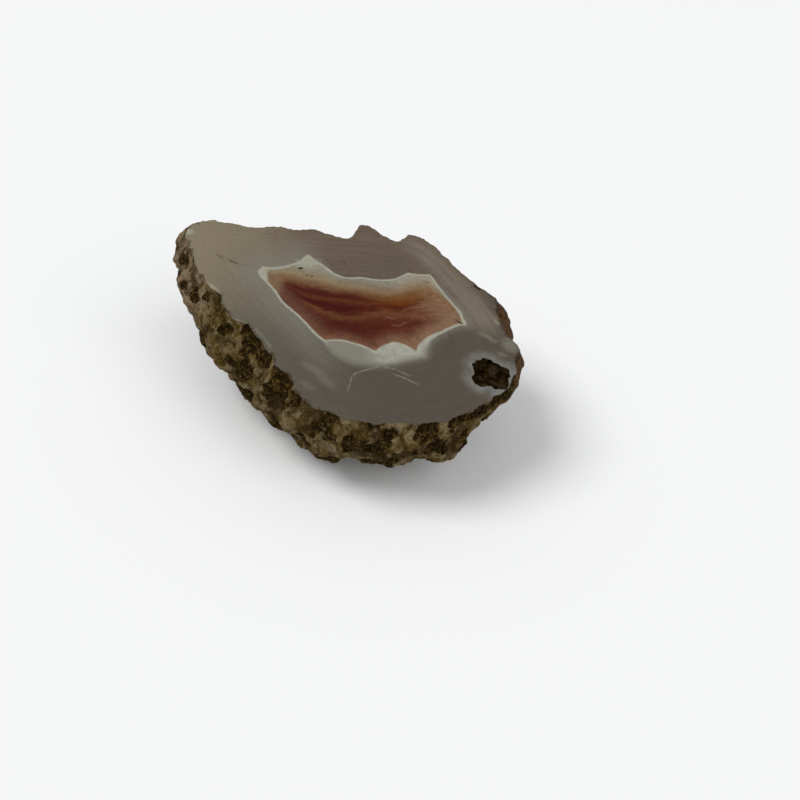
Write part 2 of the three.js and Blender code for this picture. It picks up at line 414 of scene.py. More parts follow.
# white outline of the core, each run a curve between two corners where the growth fronts meet
coreOutline = [
    [[-13.1, 10.5], [-10.9, 10.2], [-8.6, 10.7], [-6.3, 11.6], [-5.2, 12.9]],
    [[-5.2, 12.9], [-4.4, 13.2], [-3.5, 11.8], [-2.0, 10.3], [-0.5, 8.3], [0.9, 7.2]],
    [[0.9, 7.2], [2.2, 6.9], [3.8, 7.0], [5.4, 6.5], [7.4, 6.1], [9.6, 6.2], [11.4, 7.1], [12.5, 7.9]],
    [[12.5, 7.9], [14.2, 7.4], [16.3, 7.2]],
    [[16.3, 7.2], [16.9, 4.6], [17.7, 2.2], [18.6, 0.1], [19.4, -1.7]],
    [[19.4, -1.7], [19.4, -3.4], [19.6, -4.8]],
    [[19.6, -4.8], [17.0, -5.0], [14.0, -6.7], [11.9, -8.5], [10.6, -10.9]],
    [[10.6, -10.9], [7.7, -11.4], [5.6, -11.9], [3.6, -12.1], [1.6, -12.0], [-0.1, -11.7], [-1.6, -11.1],
     [-3.1, -10.0], [-4.0, -8.8], [-4.7, -7.4]],
    [[-4.7, -7.4], [-5.9, -5.3], [-7.1, -3.1], [-8.5, -0.8], [-10.2, 1.5], [-11.3, 4.2], [-12.4, 6.4],
     [-13.7, 7.9]],
    [[-13.7, 7.9], [-14.0, 9.2], [-13.1, 10.5]],
]

# edge of the coloured filling inside it; along the top the colour fades into the white by itself
fillOutline = [
    [[-12.3, 10.0], [-12.6, 8.4], [-12.1, 6.7], [-11.0, 4.5], [-9.9, 1.8], [-8.1, -0.7], [-6.7, -3.0],
     [-5.5, -5.2], [-4.5, -7.0]],
    [[-4.5, -7.0], [-3.8, -6.9], [-2.5, -6.9], [-1.3, -7.2], [-0.2, -7.7], [1.3, -8.4], [2.4, -9.1],
     [3.2, -9.8]],
    [[3.2, -9.8], [4.2, -8.8], [5.1, -8.4], [6.2, -8.0], [7.1, -8.0], [8.0, -8.5], [8.8, -9.1], [9.7, -10.1]],
    [[9.7, -10.1], [10.4, -8.7], [12.0, -7.3], [13.7, -6.1], [15.7, -5.0], [17.5, -4.5], [19.0, -4.4]],
    [[19.0, -4.4], [19.1, -3.4], [19.0, -2.0], [18.3, 0.0], [17.4, 2.1], [16.6, 4.5], [16.1, 6.8]],
    [[16.1, 6.8], [14.2, 7.0], [12.5, 7.3], [11.4, 6.6], [9.6, 5.8], [7.4, 5.7], [5.4, 6.1], [3.8, 6.6],
     [2.2, 6.5], [0.6, 7.0], [-0.9, 8.2], [-2.4, 10.2], [-3.9, 12.0], [-5.4, 12.0], [-6.5, 11.2],
     [-8.6, 10.3], [-10.9, 9.8], [-12.3, 10.0]],
]

# levels of the filling, from the white under its top edge (0) to the brick red at its foot (1)
levels = [
    [0.00, [[-14, 10.8], [-10.9, 10.4], [-8.6, 10.6], [-6.5, 10.3], [-4.6, 9.4], [-2.4, 8.5], [-0.9, 7.5],
            [0.7, 6.7], [1.9, 6.3], [3.8, 6.2], [5.4, 5.7], [7.4, 5.3], [9.6, 5.3], [11.4, 5.9], [12.5, 6.3],
            [14.1, 6.4], [15.6, 6.2], [17, 4.4], [18.3, 1.6], [19.6, -1.4]]],
    [0.30, [[-14, 6.6], [-11, 6.4], [-9.5, 6.2], [-8.3, 5.9], [-6.8, 5.2], [-5.0, 4.6], [-3.2, 4.0],
            [-1.2, 3.4], [0.7, 3.2], [2.5, 2.8], [4.3, 2.0], [6.0, 1.5], [8.3, 1.1], [10.0, 1.2], [12.0, 1.7],
            [14.3, 2.0], [15.5, 1.4], [16.6, 0.2], [17.9, -1.6], [19.6, -3.2]]],
    [0.45, [[-14, 5.6], [-11, 5.4], [-8.6, 4.6], [-6.7, 2.9], [-4.6, 2.3], [-2.2, 1.8], [0.2, 1.2],
            [2.0, 0.8], [3.7, 0.4], [5.0, 0.4], [6.5, 0.2], [9.3, -0.2], [12.3, -0.3], [15, -0.9],
            [19.6, -3.6]]],
    [0.53, [[-14, 4.9], [-11, 4.6], [-8.6, 3.8], [-6.8, 2.3], [-4.9, 1.1], [-2.9, 0.3], [-1.4, -0.3],
            [-0.3, -0.7], [0.9, -0.8], [2.6, -0.6], [4.0, -0.4], [6.0, -0.3], [9.2, -0.8], [12.2, -1.0],
            [15, -1.6], [19.6, -3.9]]],
    [0.60, [[-14, 4.4], [-11, 4.1], [-9.0, 3.3], [-7.6, 2.3], [-6.5, 1.3], [-5.4, 0.3], [-4.3, -0.5],
            [-3.2, -1.2], [-2.1, -1.8], [-0.9, -2.2], [0.2, -2.4], [1.5, -2.3], [2.7, -2.0], [4.0, -1.6],
            [5.9, -1.5], [7.6, -2.0], [9.4, -2.4], [11.5, -2.4], [14.5, -2.7], [19.6, -4.2]]],
    [0.85, [[-14, 2.0], [-10.4, 1.6], [-6.4, -2.6], [-4.3, -5.0], [-1.1, -5.6], [1.5, -7.0], [3.5, -7.4],
            [5.8, -6.4], [9.0, -5.9], [12.4, -4.9], [15.8, -4.0], [19.6, -4.6]]],
    [1.00, [[-14, 0.2], [-10.4, -0.2], [-7.6, -2.8], [-5, -6.6], [-2, -7.4], [1, -8.6], [3.2, -9.9],
            [6.5, -8.2], [9.6, -10.2], [12.2, -7.4], [16, -5.2], [19.6, -5.0]]],
]

# outline that the faint bands of the wall run along, simpler than the rim with its teeth
wallOutline = [
    [[25, 0], [19, 15], [8, 20], [-8, 21.5], [-24, 23.5]],
    [[-24, 23.5], [-27, 17], [-20.5, 0], [-11.5, -14], [0, -23]],
    [[0, -23], [14, -22], [25, -13], [26, -6], [25, 0]],
]

# fine healed cracks in the wall in front of the core
hairlines = [
    [[-2.7, -17.1], [-2.0, -15.7], [-1.3, -14.2], [0.6, -13.4], [2.8, -12.8]],
    [[4.0, -12.9], [5.7, -13.5], [7.3, -14.7]],
    [[5.0, -14.3], [6.6, -15.2], [8.3, -16.4]],
]
# pale threads: four in the red at its right, and one in the wall along the left edge
threads = [
    [[12.9, -0.5], [13.8, -0.1], [14.8, -0.4], [15.5, -1.1], [15.8, -1.6]],
    [[9.8, -0.9], [10.9, -0.6], [12.3, -0.4]],
    [[6.6, -2.5], [7.8, -2.9]],
    [[7.1, -4.3], [8.3, -4.4], [9.5, -3.7]],
    [[-18.9, -1.6], [-17.5, -2.5], [-16.4, -3.4], [-15.2, -4.7], [-14.3, -6.1], [-13.4, -8.1]],
]


def smoothRun(run, parts=6):
    # a curve through the points of a run, with its ends kept as corners
    padded = [run[0]] + run + [run[-1]]
    curve = []
    for p0, p1, p2, p3 in zip(padded, padded[1:], padded[2:], padded[3:]):
        for i in range(parts):
            t = i / parts
            point = []
            for a, b, c, d in zip(p0, p1, p2, p3):
                bend = (2 * a - 5 * b + 4 * c - d) * t ** 2 + (3 * b - a - 3 * c + d) * t ** 3
                point.append(0.5 * (2 * b + (c - a) * t + bend))
            curve.append(point)
    return curve + [run[-1]]


def closedEdges(runs):
    points = [p for run in runs for p in smoothRun(run)[:-1]]
    return list(zip(points, points[1:] + points[:1]))


def depthInto(points, runs):
    # mm inside a closed outline, negative outside
    edges = closedEdges(runs)
    return distanceTo(points, edges) * np.where(inside(points, edges), 1, -1)


def hairlinePoints(width=0.2, step=0.3):
    # extra points of the net along each hairline and thread, and beside it
    extra = []
    for line in hairlines + threads:
        run = np.array(smoothRun(line, 8))
        for a, b in zip(run, run[1:]):
            length = np.linalg.norm(b - a)
            side = np.array([a[1] - b[1], b[0] - a[0]]) / max(length, 1e-9) * width
            for share in np.arange(0, 1, step / max(length, step)):
                middle = a + (b - a) * share
                extra += [tuple(middle), tuple(middle + side), tuple(middle - side)]
    return extra


def threadShare(points, lines, width):
    # 1 on the middle of some thin lines, 0 beside them
    pairs = [pair for line in lines for pair in zip(smoothRun(line, 8), smoothRun(line, 8)[1:])]
    return np.clip(1 - distanceTo(points, pairs) / width, 0, 1)


def levelOf(points):
    heights = []
    for value, run in levels:
        curve = np.array(smoothRun(run))
        heights.append(np.interp(points[:, 0], curve[:, 0], curve[:, 1]))
    result = np.zeros(len(points))
    for i in range(len(levels) - 1):
        top, bottom = heights[i], heights[i + 1]
        share = np.clip((top - points[:, 1]) / np.maximum(top - bottom, 0.05), 0, 1)
        result += share * (levels[i + 1][0] - levels[i][0])
    return result


def markFace(half):
    places = faceCoords(pointsOf(half))
    onFace = np.abs(places[:, 2]) < stoneShape["onPlane"]
    flat = places[:, :2]
    bm = bmesh.new()
    bm.from_mesh(half.data)
    rim, lips = [], []
    for edge in bm.edges:
        ends = [v.index for v in edge.verts]
        if onFace[ends].all() and any(abs(f.normal.dot(faceUp)) < levelEnough for f in edge.link_faces):
            a, b = flat[ends[0]], flat[ends[1]]
            nearPocket = np.linalg.norm((a + b) / 2 - pocketAbout["middle"]) < pocketAbout["reach"]
            (lips if nearPocket else rim).append((a, b))
    bm.free()
    face = flat[onFace]

    # each marking, and its value away from the face
    marks = {
        "coreDepth": (depthInto(face, coreOutline), -20),
        "fillDepth": (depthInto(face, fillOutline), -20),
        "level": (levelOf(face), 0),
        "rimGap": (distanceTo(face, rim), 0),
        "lipGap": (distanceTo(face, lips), 20),
        "wallDepth": (depthInto(face, wallOutline), 0),
        "vein": (threadShare(face, hairlines, 0.18), 0),
        "thread": (threadShare(face, threads, 0.26), 0),
    }
    for name, (values, elsewhere) in marks.items():
        everywhere = np.full(len(flat), float(elsewhere))
        everywhere[onFace] = values
        setAttribute(half, name, everywhere)
    setAttribute(half, "pocket", pocketShare(pointsOf(half)) * ~onFace)
    print("stone: markings on", int(onFace.sum()), "points of the face")


# materials

def newMaterial(name):
    material = bpy.data.materials.new(name)
    material.use_nodes = True
    return material, material.node_tree, material.node_tree.nodes["Principled BSDF"]


def feed(tree, socket, value):
    # a node's output is linked, a plain value is set
    if isinstance(value, bpy.types.NodeSocket):
        tree.links.new(value, socket)
    else:
        socket.default_value = value


def calc(tree, operation, *values):
    node = tree.nodes.new("ShaderNodeMath")
    node.operation = operation
    for socket, value in zip(node.inputs, values):
        feed(tree, socket, value)
    return node.outputs[0]


def times(tree, first, *others):
    for other in others:
        first = calc(tree, "MULTIPLY", first, other)
    return first


def plus(tree, first, *others):
    for other in others:
        first = calc(tree, "ADD", first, other)
    return first


def swing(tree, field, width):
    # a field of 0 to 1 turned into one around nought, this wide
    return calc(tree, "MULTIPLY_ADD", field, width, -width / 2)


def between(tree, value, low, high, fromLow=0.0, toHigh=1.0):
    # a soft step of a value between two limits
    node = tree.nodes.new("ShaderNodeMapRange")
    node.interpolation_type = "SMOOTHSTEP"
    feed(tree, node.inputs["Value"], value)
    feed(tree, node.inputs["From Min"], low)
    feed(tree, node.inputs["From Max"], high)
    node.inputs["To Min"].default_value = fromLow
    node.inputs["To Max"].default_value = toHigh
    return node.outputs["Result"]


def blendColours(tree, share, a, b, way="MIX"):
    node = tree.nodes.new("ShaderNodeMix")
    node.data_type = "RGBA"
    node.blend_type = way
    colourA, colourB = [s for s in node.inputs if s.type == "RGBA"]
    feed(tree, node.inputs[0], share)
    for socket, colour in ((colourA, a), (colourB, b)):
        feed(tree, socket, colour if isinstance(colour, bpy.types.NodeSocket) else (*colour, 1))
    return next(s for s in node.outputs if s.type == "RGBA")


def shaded(tree, colour, tone):
    # a colour made lighter or darker by a tone around 1
    grey = tree.nodes.new("ShaderNodeCombineColor")
    for socket in grey.inputs:
        feed(tree, socket, tone)
    return blendColours(tree, 1.0, colour, grey.outputs[0], "MULTIPLY")


def colourRamp(tree, value, stops):
    node = tree.nodes.new("ShaderNodeValToRGB")
    elements = node.color_ramp.elements
    elements[0].position, elements[0].color = stops[0][0], (*stops[0][1], 1)
    elements[1].position, elements[1].color = stops[-1][0], (*stops[-1][1], 1)
    for position, colour in stops[1:-1]:
        elements.new(position).color = (*colour, 1)
    feed(tree, node.inputs["Fac"], value)
    return node.outputs["Color"]


def noiseField(tree, place, scale, detail, roughness, distortion=0.0):
    node = tree.nodes.new("ShaderNodeTexNoise")
    feed(tree, node.inputs["Vector"], place)
    node.inputs["Scale"].default_value = scale
    node.inputs["Detail"].default_value = detail
    node.inputs["Roughness"].default_value = roughness
    node.inputs["Distortion"].default_value = distortion
    return node.outputs["Fac"]


def cellField(tree, place, scale):
    # distance from the middle of the nearest cell
    node = tree.nodes.new("ShaderNodeTexVoronoi")
    feed(tree, node.inputs["Vector"], place)
    node.inputs["Scale"].default_value = scale
    return node.outputs["Distance"]


def attributeValue(tree, name):
    node = tree.nodes.new("ShaderNodeAttribute")
    node.attribute_name = name
    return node.outputs["Fac"]


def placeInMm(tree, middle=(0, 0, 0), lean=0.0, stretch=(1, 1, 1)):
    # Object coordinates as millimetres, turned into the face's own frame where it leans
    coords = tree.nodes.new("ShaderNodeTexCoord")
    mapping = tree.nodes.new("ShaderNodeMapping")
    mapping.vector_type = "TEXTURE"
    mapping.inputs["Location"].default_value = middle
    mapping.inputs["Rotation"].default_value = (lean, 0, 0)
    mapping.inputs["Scale"].default_value = [s * mm for s in stretch]
    tree.links.new(coords.outputs["Object"], mapping.inputs["Vector"])
    return mapping.outputs["Vector"]


def joinAxes(tree, x, y, z):
    node = tree.nodes.new("ShaderNodeCombineXYZ")
    for socket, value in zip(node.inputs, (x, y, z)):
        feed(tree, socket, value)
    return node.outputs["Vector"]


def splitAxes(tree, place):
    node = tree.nodes.new("ShaderNodeSeparateXYZ")
    tree.links.new(place, node.inputs[0])
    return node.outputs["X"], node.outputs["Y"], node.outputs["Z"]


def fanPlace(tree, u, v, centre, turns, reach):
    # coordinates that stay the same along rays from a centre, for fibres that spread like a fan
    away = joinAxes(tree, calc(tree, "SUBTRACT", u, centre[0]), calc(tree, "SUBTRACT", v, centre[1]), 0.0)
    heading = tree.nodes.new("ShaderNodeVectorMath")
    heading.operation = "NORMALIZE"
    tree.links.new(away, heading.inputs[0])
    length = tree.nodes.new("ShaderNodeVectorMath")
    length.operation = "LENGTH"
    tree.links.new(away, length.inputs[0])
    x, y = splitAxes(tree, heading.outputs["Vector"])[:2]
    alongRay = times(tree, length.outputs["Value"], reach)
    return joinAxes(tree, times(tree, x, turns), times(tree, y, turns), alongRay)


def distanceFrom(tree, place, point, stretch, turn):
    mapping = tree.nodes.new("ShaderNodeMapping")
    mapping.vector_type = "TEXTURE"
    mapping.inputs["Location"].default_value = (*point, 0)
    mapping.inputs["Rotation"].default_value = (0, 0, math.radians(turn))
    mapping.inputs["Scale"].default_value = stretch
    length = tree.nodes.new("ShaderNodeVectorMath")
    length.operation = "LENGTH"
    tree.links.new(place, mapping.inputs["Vector"])
    tree.links.new(mapping.outputs["Vector"], length.inputs[0])
    return length.outputs["Value"]


def bumpOf(tree, height, distance, strength, under=None):
    node = tree.nodes.new("ShaderNodeBump")
    node.inputs["Strength"].default_value = strength
    node.inputs["Distance"].default_value = distance
    feed(tree, node.inputs["Height"], height)
    if under:
        tree.links.new(under, node.inputs["Normal"])
    return node.outputs["Normal"]


faceLook = {
    # wall colours at the four corners: the pale upper left carries painted light and the dark lower right
    # painted shade, on top of the wall's own tone
    "upperLeftWithPaintedLight": (0.208, 0.174, 0.116),
    "lowerLeft": (0.108, 0.099, 0.073),
    "upperRight": (0.124, 0.092, 0.066),
    "lowerRightWithPaintedShade": (0.084, 0.070, 0.054),
    "rightStrip": (0.190, 0.158, 0.118),  # paler bands between the core and the right end
    "milky": (0.190, 0.180, 0.145),       # wall close to the core
    "white": (0.320, 0.315, 0.238),
    "whiteRim": (0.370, 0.365, 0.300),
    "leftLobe": (0.205, 0.195, 0.148),
    "rightLobe": (0.345, 0.338, 0.285),
    "paleLine": (0.290, 0.272, 0.215),
    "chalk": (0.185, 0.182, 0.168),
    "peach": (0.218, 0.134, 0.080),
    "peachBrown": (0.165, 0.098, 0.055),
    "thread": (0.270, 0.150, 0.100),
    "speck": (0.016, 0.009, 0.006),
    "stain": (0.050, 0.032, 0.015),
    "maroon": (0.060, 0.009, 0.005),      # plain stretch at the left of the filling
    "roughness": (0.30, 0.42),
    "sheen": 0.09,
}

# colours of the filling by level, on its left and on its right
fillLeft = [
    (0.00, (0.232, 0.208, 0.155)),
    (0.05, (0.215, 0.180, 0.120)),
    (0.12, (0.226, 0.168, 0.094)),
    (0.19, (0.176, 0.104, 0.053)),
    (0.26, (0.115, 0.048, 0.021)),
    (0.32, (0.060, 0.009, 0.005)),
    (0.38, (0.058, 0.008, 0.003)),
    (0.43, (0.092, 0.026, 0.008)),
    (0.47, (0.060, 0.009, 0.003)),
    (0.52, (0.042, 0.002, 0.002)),
    (0.56, (0.056, 0.009, 0.003)),
    (0.59, (0.106, 0.038, 0.013)),
    (0.63, (0.086, 0.025, 0.009)),
    (0.68, (0.060, 0.010, 0.004)),
    (0.80, (0.055, 0.007, 0.003)),
    (0.90, (0.085, 0.021, 0.009)),
    (1.00, (0.145, 0.060, 0.031)),
]
fillRight = [
    (0.00, (0.262, 0.235, 0.178)),
    (0.06, (0.238, 0.188, 0.130)),
    (0.14, (0.200, 0.134, 0.078)),
    (0.23, (0.144, 0.062, 0.018)),
    (0.32, (0.120, 0.036, 0.005)),
    (0.42, (0.098, 0.023, 0.003)),
    (0.48, (0.072, 0.010, 0.002)),
    (0.53, (0.086, 0.017, 0.004)),
    (0.59, (0.118, 0.042, 0.017)),
    (0.65, (0.098, 0.025, 0.010)),
    (0.74, (0.072, 0.012, 0.005)),
    (0.86, (0.100, 0.028, 0.012)),
    (1.00, (0.175, 0.078, 0.042)),
]

# dark marks on the face: place, half length, half width, turn, share of the speck colour
specks = [
    [(-6.4, 9.8), 0.52, 0.28, 8, 0.95],
    [(-5.5, 8.0), 0.32, 0.20, 0, 0.75],
    [(-4.7, 7.7), 0.40, 0.18, 20, 0.7],
    [(-6.9, 8.9), 0.20, 0.14, 20, 0.5],
    [(18.4, -4.1), 0.75, 0.17, -48, 0.95],
    [(23.8, 3.8), 0.85, 0.30, -60, 0.9],
    [(15.3, 5.4), 0.50, 0.12, -20, 0.5],
    [(15.2, 2.5), 0.60, 0.30, 10, 0.32],
    [(13.5, 1.2), 0.90, 0.25, 20, 0.28],
    [(12.2, 0.4), 0.70, 0.25, 25, 0.25],
    [(-20.5, 13.4), 1.10, 0.22, -40, 0.4],
    [(-18.2, 11.9), 1.40, 0.24, -35, 0.5],
    [(-16.0, 10.9), 0.90, 0.18, -20, 0.3],
    [(1.6, 10.9), 0.80, 0.16, -60, 0.45],
    [(-1.2, 11.4), 1.90, 0.14, -62, 0.3],
    [(-24.9, 9.6), 0.40, 0.20, 10, 0.8],
    [(-23.4, 7.0), 0.70, 0.16, -45, 0.75],
]

# pale patches on the face: place, half length, half width, turn, share of white
paleMarks = [
    [(-26.0, 20.3), 1.1, 0.9, 0, 0.95],
    [(-4.8, 11.0), 2.4, 1.5, 0, 0.80],
    [(-22.1, 5.4), 2.2, 0.8, -52, 0.70],
    [(21.8, -7.2), 1.3, 0.55, -35, 0.22],
    [(22.8, -8.3), 0.9, 0.50, -35, 0.20],
    [(25.4, -9.4), 1.6, 1.8, 0, 0.30],
    [(23.4, -11.2), 1.1, 0.45, -30, 0.20],
    [(24.7, -4.4), 0.4, 0.8, 20, 0.30],
    [(-7.4, -12.6), 2.4, 0.8, -35, 0.14],
    [(-5.6, -15.2), 2.2, 0.9, -50, 0.14],
    [(-8.6, -15.8), 1.6, 0.7, -40, 0.12],
]


# middle of the fan that the fibres of the filling spread from
fanMiddle = (2.5, 0.8)


def faceFields(tree):
    # what the colours of the face are worked out from; the core's edges lie a little further out along
    # its sides than at its top and its lobes
    place = placeInMm(tree, faceMiddle, faceLean)
    u, v = splitAxes(tree, place)[:2]
    core, fill = attributeValue(tree, "coreDepth"), attributeValue(tree, "fillDepth")
    mottle = noiseField(tree, place, 1.7, 6, 0.75)
    thread = between(tree, mottle, 0.35, 0.62, 0.1, 0.5)
    wobble = swing(tree, noiseField(tree, place, 1.3, 4, 0.6), 0.40)
    outward = times(
        tree, between(tree, v, 8.5, 6.0, 0.0, 0.35),
        between(tree, u, 19.0, 16.5), between(tree, v, -7.4, -5.6, 0.2, 1.0),
    )
    return {
        "place": place,
        "u": u,
        "v": v,
        "core": core,
        "fill": fill,
        "mottle": mottle,
        "sway": noiseField(tree, place, 0.55, 3, 0.6),
        "thread": times(tree, attributeValue(tree, "thread"), thread),
        "coreEdge": plus(tree, core, wobble, outward),
        "fillEdge": calc(tree, "MULTIPLY_ADD", outward, 1.7, plus(tree, fill, wobble)),
    }


def wallColour(tree, face):
    # the grey wall, paler at the upper left, beside the core and in a strip at the right; the paleness at the
    # upper left and the darkening towards the front and right are partly its own tone and partly painted
    # light and painted shade
    place, u, v, core, mottle = (face[name] for name in ("place", "u", "v", "core", "mottle"))
    look = faceLook
    drift = swing(tree, noiseField(tree, place, 0.09, 4, 0.55, 0.8), 22)
    toRightToneAndPaintedShade = between(tree, plus(tree, u, drift), -24, 2)
    toFrontToneAndPaintedShade = between(tree, plus(tree, v, drift), 17, -11)
    left = blendColours(tree, toFrontToneAndPaintedShade, look["upperLeftWithPaintedLight"], look["lowerLeft"])
    right = blendColours(tree, toFrontToneAndPaintedShade, look["upperRight"], look["lowerRightWithPaintedShade"])
    colour = blendColours(tree, toRightToneAndPaintedShade, left, right)
    besideCore = times(tree, between(tree, core, -7, -0.2), between(tree, u, 0, -9))
    closeTo = times(tree, between(tree, core, -1.8, 0.0), between(tree, v, 6, 3))
    besideCore = calc(tree, "MAXIMUM", besideCore, times(tree, closeTo, 0.85))
    colour = blendColours(tree, times(tree, besideCore, 0.60), colour, look["milky"])
    wallDepth = attributeValue(tree, "wallDepth")
    broken = noiseField(tree, place, 0.35, 4, 0.6)
    offStrip = calc(tree, "SUBTRACT", calc(tree, "MULTIPLY_ADD", broken, 3, wallDepth), 4.6)
    offStrip = calc(tree, "ABSOLUTE", offStrip)
    strip = times(
        tree, between(tree, offStrip, 3.4, 0.6),
        between(tree, u, 11, 18), between(tree, v, -9, -3, 0.0, 0.75),
    )
    colour = blendColours(tree, strip, colour, look["rightStrip"])

    # growth bands along the wall, clearest at the right, and a fine mottle
    bandPlace = joinAxes(tree, times(tree, wallDepth, 1.5), times(tree, u, 0.07), times(tree, v, 0.07))
    bands = noiseField(tree, bandPlace, 1.0, 4, 0.7, 0.3)
    clearness = times(
        tree, between(tree, broken, 0.35, 0.6, 0.3, 1.0),
        between(tree, u, -22, 18, 0.40, 1.0), between(tree, v, -12, -3, 0.5, 1.0),
    )
    tone = calc(tree, "MULTIPLY_ADD", mottle, 0.50, 0.75)
    tone = plus(tree, tone, times(tree, calc(tree, "SUBTRACT", bands, 0.5), clearness))
    colour = shaded(tree, colour, tone)

    # rust that has crept in from the rind at the two ends, and the pale thread
    creep = plus(
        tree, attributeValue(tree, "rimGap"), swing(tree, face["sway"], 2.4), swing(tree, mottle, 2.4),
    )
    offLeft = calc(tree, "MULTIPLY_ADD", v, 0.42, plus(tree, u, 17.2))
    atEnds = calc(tree, "MAXIMUM", between(tree, offLeft, 3.4, 2.2), between(tree, u, 22.5, 24.0))
    stain = times(tree, between(tree, creep, 0.45, -0.1), atEnds)
    colour = blendColours(tree, times(tree, stain, 0.85), colour, look["stain"])
    return blendColours(tree, face["thread"], colour, look["paleLine"])


def addShell(tree, face, colour):
    # the white shell of the core: a crisp thin line, soft along the bottom of the two lobes
    u, v, coreEdge = (face[name] for name in ("u", "v", "coreEdge"))
    look = faceLook
    softness = between(tree, v, -7, -10, 0.20, 1.0)
    inCore = between(tree, calc(tree, "DIVIDE", coreEdge, softness), -0.9, 0.9)
    lobe = blendColours(tree, between(tree, u, 0.5, 5.0), look["leftLobe"], look["rightLobe"])
    white = blendColours(tree, between(tree, v, -6.2, -7.6), look["white"], lobe)
    milk = noiseField(tree, face["place"], 0.8, 5, 0.65, 0.5)
    outerLine = times(
        tree, between(tree, coreEdge, 0.55, 0.25),
        between(tree, v, -8.5, -7.0), between(tree, milk, 0.35, 0.6, 0.25, 0.9),
    )
    innerLine = times(tree, between(tree, face["fill"], -0.5, -0.05), between(tree, v, -5.8, -6.8))
    white = blendColours(tree, calc(tree, "MAXIMUM", outerLine, innerLine), white, look["whiteRim"])
    white = blendColours(tree, between(tree, milk, 0.38, 0.72, 0.0, 0.5), white, look["milky"])
    return blendColours(tree, inCore, colour, white)


def addFilling(tree, face, colour):
    # the coloured filling: levels drawn out into wisps, with fibres that fan out to its edges
    place, u, v, fill = (face[name] for name in ("place", "u", "v", "fill"))
    look = faceLook
    wispPlace = placeInMm(tree, faceMiddle, faceLean, (3.4, 1.0, 1.0))
    wisp = noiseField(tree, wispPlace, 0.8, 5, 0.62, 0.9)
    fibre = noiseField(tree, fanPlace(tree, u, v, fanMiddle, 22.0, 0.35), 1.0, 4, 0.7)
    drawnLevel = attributeValue(tree, "level")
    midway = calc(tree, "ABSOLUTE", calc(tree, "SUBTRACT", drawnLevel, 0.56))
    fibreShift = between(tree, midway, 0.10, 0.32, 0.02, 0.13)
    level = plus(tree, drawnLevel, swing(tree, wisp, 0.11))
    level = calc(tree, "MULTIPLY_ADD", calc(tree, "SUBTRACT", fibre, 0.5), fibreShift, level)
    level = plus(tree, level, swing(tree, face["mottle"], 0.07))
    fillDrift = plus(tree, u, swing(tree, wisp, 8))
    filling = blendColours(
        tree, between(tree, fillDrift, 0, 9),
        colourRamp(tree, level, fillLeft), colourRamp(tree, level, fillRight),
    )

    # plain maroon at its left, then brown to peach in the left corner, and peach towards the right edges
    plain = times(
        tree, between(tree, fillDrift, -5.5, -8.5),
        between(tree, level, 0.29, 0.34), between(tree, level, 0.85, 0.72),
    )
    filling = blendColours(tree, plain, filling, look["maroon"])
    corner = calc(tree, "MULTIPLY_ADD", v, -0.35, plus(tree, u, 2.6))
    corner = plus(tree, corner, swing(tree, fibre, 2.0))
    inCorner = times(tree, between(tree, corner, -8.6, -10.6), between(tree, level, 0.08, 0.22))
    filling = blendColours(tree, inCorner, filling, look["peachBrown"])
    nearEdge = plus(tree, fill, swing(tree, fibre, 3.6))
    toPeach = times(tree, between(tree, nearEdge, 3.2, 0.0), between(tree, u, 3, 13, 0.30, 0.75))
    toPeach = calc(tree, "MAXIMUM", toPeach, between(tree, fillDrift, 10, 18.5, 0.0, 0.85))
    toPeach = times(tree, toPeach, between(tree, level, 0.14, 0.30))
    filling = blendColours(tree, toPeach, filling, look["peach"])
    filling = blendColours(tree, face["thread"], filling, look["thread"])

    # fine fibres and patches, and a duller stretch under the top edge
    fineFibre = noiseField(tree, fanPlace(tree, u, v, fanMiddle, 60.0, 0.6), 1.0, 5, 0.75)
    fibreTone = between(tree, fineFibre, 0.30, 0.70, -0.17, 0.17)
    fibreTone = plus(tree, fibreTone, between(tree, fibre, 0.3, 0.7, -0.12, 0.12))
    fibreTone = times(tree, fibreTone, between(tree, level, 0.10, 0.35, 0.35, 1.0))
    patchTone = between(tree, noiseField(tree, place, 0.9, 5, 0.7, 0.6), 0.32, 0.68, 0.90, 1.14)
    dull = times(
        tree, between(tree, u, -1.5, 1.5),
        between(tree, u, 11.5, 8.5), between(tree, level, 0.16, 0.06, 0.0, 0.18),
    )
    patchTone = calc(tree, "SUBTRACT", patchTone, dull)
    filling = shaded(tree, filling, plus(tree, patchTone, fibreTone))
    inFill = between(tree, face["fillEdge"], -0.05, 0.40)
    inFill = times(tree, inFill, between(tree, face["coreEdge"], 0.25, 0.55))
    return blendColours(tree, inFill, colour, filling)


def addMarks(tree, face, colour, marks, wide, whole, rough, paint):
    # ragged spots: where each fades out and is whole, how rough its edge is, and its colour
    for point, halfLength, halfWidth, turn, share in marks:
        away = distanceFrom(tree, face["place"], point, (halfLength, halfWidth, 1), turn)
        ragged = plus(tree, away, swing(tree, face["mottle"], rough))
        colour = blendColours(tree, between(tree, ragged, wide, whole, 0.0, share), colour, paint)
    return colour


def addHaze(tree, face, colour):
    # the fine hairlines, and the chalky ring round the pocket
    mottle = face["mottle"]
    vein = times(tree, attributeValue(tree, "vein"), between(tree, mottle, 0.35, 0.65, 0.15, 0.75))
    colour = blendColours(tree, vein, colour, faceLook["paleLine"])
    hazeGap = plus(tree, attributeValue(tree, "lipGap"), swing(tree, mottle, 2.0))
    haze = between(tree, face["sway"], 0.3, 0.65, 0.4, 0.95)
    haze = times(tree, between(tree, hazeGap, 2.2, 0.0), haze)
    return blendColours(tree, haze, colour, faceLook["chalk"])


